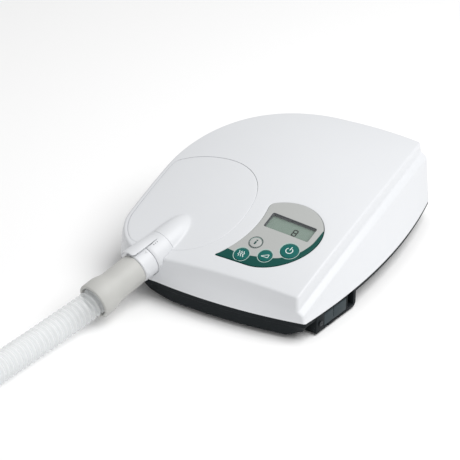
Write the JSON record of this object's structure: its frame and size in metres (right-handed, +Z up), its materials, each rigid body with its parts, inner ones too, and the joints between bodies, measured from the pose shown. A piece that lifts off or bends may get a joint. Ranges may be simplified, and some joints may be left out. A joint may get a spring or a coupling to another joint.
{
  "type": "positive airway pressure ventilator",
  "caption": "Bedside breathing-therapy ventilator with a domed two-part case, key panel with display, filter door, clipped outlet and corrugated breathing hose.",
  "frame": {"origin": "on the table under the centre of the device, hose and its cuffs left out", "axes": "+X to the right of the device, +Y to its back, +Z up"},
  "size_m": [0.2752, 0.8389, 0.0819],
  "materials": {
    "housing_white": "fine satin moulding",
    "base_charcoal": "fine moulded grain",
    "panel_silver": "satin printed foil",
    "button_teal": "satin",
    "display_clear": "clear window",
    "lcd_grey": "smooth",
    "board_green": "solder resist",
    "grey_rubber": "satin silicone",
    "steel": "plated",
    "foam_dark": "open cell",
    "filter_white": "felt",
    "black_rubber": "matt",
    "inner_plastic": "satin",
    "black_plastic": "satin",
    "plate_grey": "satin film",
    "hose_clear": "clear corrugated plastic"
  },
  "bodies": {
    "case": {"upper_shell": "housing_white", "side_cover": "housing_white", "outlet_collar": "housing_white", "outlet_connector": "housing_white", "base_tray": "base_charcoal", "filter_compartment": "base_charcoal", "silencer_box": "base_charcoal", "control_panel": "panel_silver", "display_window": "display_clear", "lcd_module": "lcd_grey", "display_board": "board_green", "main_board": "board_green", "keypad_mat": "grey_rubber", "hose_cuff": "grey_rubber", "hose_cuff_far": "grey_rubber", "door_pin": "steel", "lever_pin": "steel", "compartment_screw": "steel", "blower_motor": "steel", "bearing_lower": "steel", "bearing_upper": "steel", "power_supply": "steel", "case_screw_1": "steel", "case_screw_2": "steel", "case_screw_3": "steel", "case_screw_4": "steel", "filter_coarse": "foam_dark", "silencer_foam": "foam_dark", "filter_fine": "filter_white", "seal_ring": "black_rubber", "outlet_duct": "black_rubber", "intake_duct": "black_rubber", "foot_1": "black_rubber", "foot_2": "black_rubber", "foot_3": "black_rubber", "foot_4": "black_rubber", "blower_housing": "inner_plastic", "blower_cover": "inner_plastic", "pressure_sensor": "black_plastic", "buzzer": "black_plastic", "mains_inlet": "black_plastic", "service_port": "black_plastic", "rating_plate": "plate_grey", "hose_run": "hose_clear", "hose_coil": "hose_clear", "hose_end": "hose_clear"},
    "door": {"filter_door": "base_charcoal"},
    "lever": {"release_lever": "housing_white"},
    "rotor": {"impeller": "inner_plastic", "motor_shaft": "steel"},
    "info_button": {"button_info": "panel_silver"},
    "heater_button": {"button_heater": "button_teal"},
    "ramp_button": {"button_ramp": "button_teal"},
    "power_button": {"button_power": "button_teal"}
  },
  "joints": [
    {"name": "filter_door_hinge", "type": "hinge", "parent": "case", "child": "door", "pos_m": [0.10028, -0.06532, 0.0053], "axis": [0.1754, 0.9845, 0], "range_deg": [0, 80]},
    {"name": "release_lever_hinge", "type": "hinge", "parent": "case", "child": "lever", "pos_m": [-0.06753, -0.09249, 0.05407], "axis": [0.7761, -0.3638, 0.5151], "range_deg": [0, 5], "stiffness_Nm_per_rad": 0.8},
    {"name": "rotor_spin", "type": "hinge", "parent": "case", "child": "rotor", "pos_m": [-0.03168, 0.04387, 0.03], "axis": [0, 0, 1], "continuous": true},
    {"name": "info_press", "type": "slide", "parent": "case", "child": "info_button", "axis": [-0.0261, 0.3147, -0.9488], "range_m": [0, 0.0008], "stiffness_N_per_m": 1200},
    {"name": "heater_press", "type": "slide", "parent": "case", "child": "heater_button", "axis": [-0.0137, 0.3443, -0.9388], "range_m": [0, 0.0008], "stiffness_N_per_m": 1200},
    {"name": "ramp_press", "type": "slide", "parent": "case", "child": "ramp_button", "axis": [-0.032, 0.3239, -0.9455], "range_m": [0, 0.0008], "stiffness_N_per_m": 1200},
    {"name": "power_press", "type": "slide", "parent": "case", "child": "power_button", "axis": [-0.0598, 0.2885, -0.9556], "range_m": [0, 0.0008], "stiffness_N_per_m": 1200}
  ]
}
